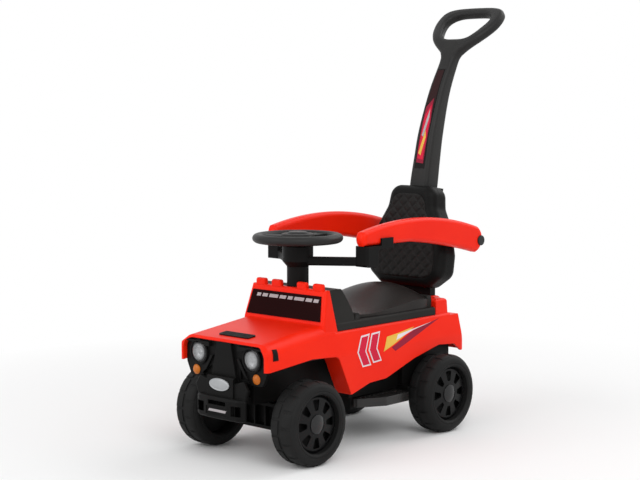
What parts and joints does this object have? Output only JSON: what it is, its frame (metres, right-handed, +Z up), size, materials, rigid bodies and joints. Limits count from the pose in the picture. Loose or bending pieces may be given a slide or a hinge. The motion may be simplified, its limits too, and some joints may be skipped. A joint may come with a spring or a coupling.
{
  "type": "push car",
  "caption": "Child's ride-on push car with steering wheel, lidded seat over a storage bin, backrest with lifting guard arms, pull-out foot rests and a tall push handle.",
  "frame": {"origin": "on the ground under the middle of the whole car's box", "axes": "+X forward, +Y to the car's left, +Z up"},
  "size_m": [0.7539, 0.298, 0.8254],
  "materials": {
    "red_plastic": "glossy moulded polypropylene",
    "black_plastic": "satin moulded polypropylene",
    "dark_gloss": "glossy film",
    "decal_print": "printed film",
    "grey_plastic": "satin moulded plastic",
    "lamp_silver": "vacuum plated plastic",
    "lens_clear": "clear moulded plastic",
    "amber": "glossy amber plastic",
    "steel": "zinc plated",
    "tyre_black": "grained moulded plastic",
    "cover_black": "semi-gloss moulded plastic",
    "cap_grey": "semi-gloss moulded plastic"
  },
  "bodies": {
    "root": {"body_shell": "red_plastic", "underbody": "black_plastic", "fascia_panel": "black_plastic", "bumper": "black_plastic", "seat_base": "black_plastic", "storage_bin": "black_plastic", "backrest_front": "black_plastic", "backrest_rear": "black_plastic", "arm_carrier": "black_plastic", "push_handle": "black_plastic", "column_sleeve": "black_plastic", "front_guard": "black_plastic", "front_axle_beam": "black_plastic", "rear_axle_spacers": "black_plastic", "hood_vent": "black_plastic", "side_vents": "black_plastic", "windscreen_panel": "dark_gloss", "handle_decal": "decal_print", "headlamp_reflectors": "lamp_silver", "badge_plate": "lamp_silver", "headlamp_lenses": "lens_clear", "indicator_lenses": "amber", "chassis_screws": "steel", "carrier_screws": "steel", "arm_pivot_bolts": "steel", "lid_hinge_pins": "steel", "kingpins": "steel", "rear_axle": "steel", "rear_axle_nuts": "steel"},
    "seat_lid": {"seat_lid": "black_plastic"},
    "arm_left": {"guard_arm_left": "red_plastic", "arm_cap_left": "grey_plastic"},
    "arm_right": {"guard_arm_right": "red_plastic", "arm_cap_right": "grey_plastic"},
    "steering": {"steering_wheel": "black_plastic", "sound_unit": "grey_plastic", "steering_shaft": "steel", "pitman_arm": "black_plastic"},
    "horn": {"horn_button": "grey_plastic"},
    "lock": {"lock_button": "grey_plastic"},
    "tie_rod": {"tie_rod": "black_plastic"},
    "knuckle_left": {"knuckle_left": "black_plastic", "front_axle_nut_left": "steel"},
    "knuckle_right": {"knuckle_right": "black_plastic", "front_axle_nut_right": "steel"},
    "footboard_left": {"footboard_left": "black_plastic"},
    "footboard_right": {"footboard_right": "black_plastic"},
    "wheel_front_left": {"wheel_front_left": "tyre_black", "wheel_cover_front_left": "cover_black", "hub_cap_front_left": "cap_grey"},
    "wheel_rear_left": {"wheel_rear_left": "tyre_black", "wheel_cover_rear_left": "cover_black", "hub_cap_rear_left": "cap_grey"},
    "wheel_front_right": {"wheel_front_right": "tyre_black", "wheel_cover_front_right": "cover_black", "hub_cap_front_right": "cap_grey"},
    "wheel_rear_right": {"wheel_rear_right": "tyre_black", "wheel_cover_rear_right": "cover_black", "hub_cap_rear_right": "cap_grey"}
  },
  "joints": [
    {"name": "steering_turn", "type": "hinge", "parent": "root", "child": "steering", "pos_m": [0.17183, 0, 0.385], "axis": [0, 0, 1], "range_deg": [-22, 22]},
    {"name": "knuckle_left_turn", "type": "hinge", "parent": "root", "child": "knuckle_left", "pos_m": [0.27182, 0.07, 0.075], "axis": [0, 0, 1], "range_deg": [-22.5, 22.5]},
    {"name": "knuckle_right_turn", "type": "hinge", "parent": "root", "child": "knuckle_right", "pos_m": [0.27182, -0.07, 0.075], "axis": [0, 0, 1], "range_deg": [-22.5, 22.5]},
    {"name": "tie_rod_slide", "type": "slide", "parent": "root", "child": "tie_rod", "axis": [0, 1, 0], "range_m": [-0.0151, 0.0151]},
    {"name": "horn_press", "type": "slide", "parent": "steering", "child": "horn", "axis": [0, 0, -1], "range_m": [0, 0.003], "stiffness_N_per_m": 600, "springref_m": -0.001},
    {"name": "lock_press", "type": "slide", "parent": "root", "child": "lock", "axis": [0.989, 0, 0.1478], "range_m": [0, 0.003], "stiffness_N_per_m": 800, "springref_m": -0.001},
    {"name": "seat_lid_open", "type": "hinge", "parent": "root", "child": "seat_lid", "pos_m": [0.11933, 0, 0.2447], "axis": [0, 1, 0], "range_deg": [0, 55]},
    {"name": "arm_left_lift", "type": "hinge", "parent": "root", "child": "arm_left", "pos_m": [-0.21918, 0.1, 0.361], "axis": [0, -1, 0], "range_deg": [0, 90]},
    {"name": "arm_right_lift", "type": "hinge", "parent": "root", "child": "arm_right", "pos_m": [-0.21918, -0.1, 0.361], "axis": [0, -1, 0], "range_deg": [0, 90]},
    {"name": "footboard_left_pull", "type": "slide", "parent": "root", "child": "footboard_left", "axis": [0, 1, 0], "range_m": [0, 0.045]},
    {"name": "footboard_right_pull", "type": "slide", "parent": "root", "child": "footboard_right", "axis": [0, -1, 0], "range_m": [0, 0.045]},
    {"name": "wheel_front_left_spin", "type": "hinge", "parent": "knuckle_left", "child": "wheel_front_left", "pos_m": [0.27182, 0.1215, 0.075], "axis": [0, 1, 0], "continuous": true},
    {"name": "wheel_rear_left_spin", "type": "hinge", "parent": "root", "child": "wheel_rear_left", "pos_m": [-0.10018, 0.1215, 0.075], "axis": [0, 1, 0], "continuous": true},
    {"name": "wheel_front_right_spin", "type": "hinge", "parent": "knuckle_right", "child": "wheel_front_right", "pos_m": [0.27182, -0.1215, 0.075], "axis": [0, 1, 0], "continuous": true},
    {"name": "wheel_rear_right_spin", "type": "hinge", "parent": "root", "child": "wheel_rear_right", "pos_m": [-0.10018, -0.1215, 0.075], "axis": [0, 1, 0], "continuous": true}
  ],
  "couplings": [
    {"joint": "knuckle_left_turn", "follows": "steering_turn", "ratio": 1},
    {"joint": "knuckle_right_turn", "follows": "steering_turn", "ratio": 1},
    {"joint": "tie_rod_slide", "follows": "steering_turn", "m_per_rad": -0.039024}
  ]
}
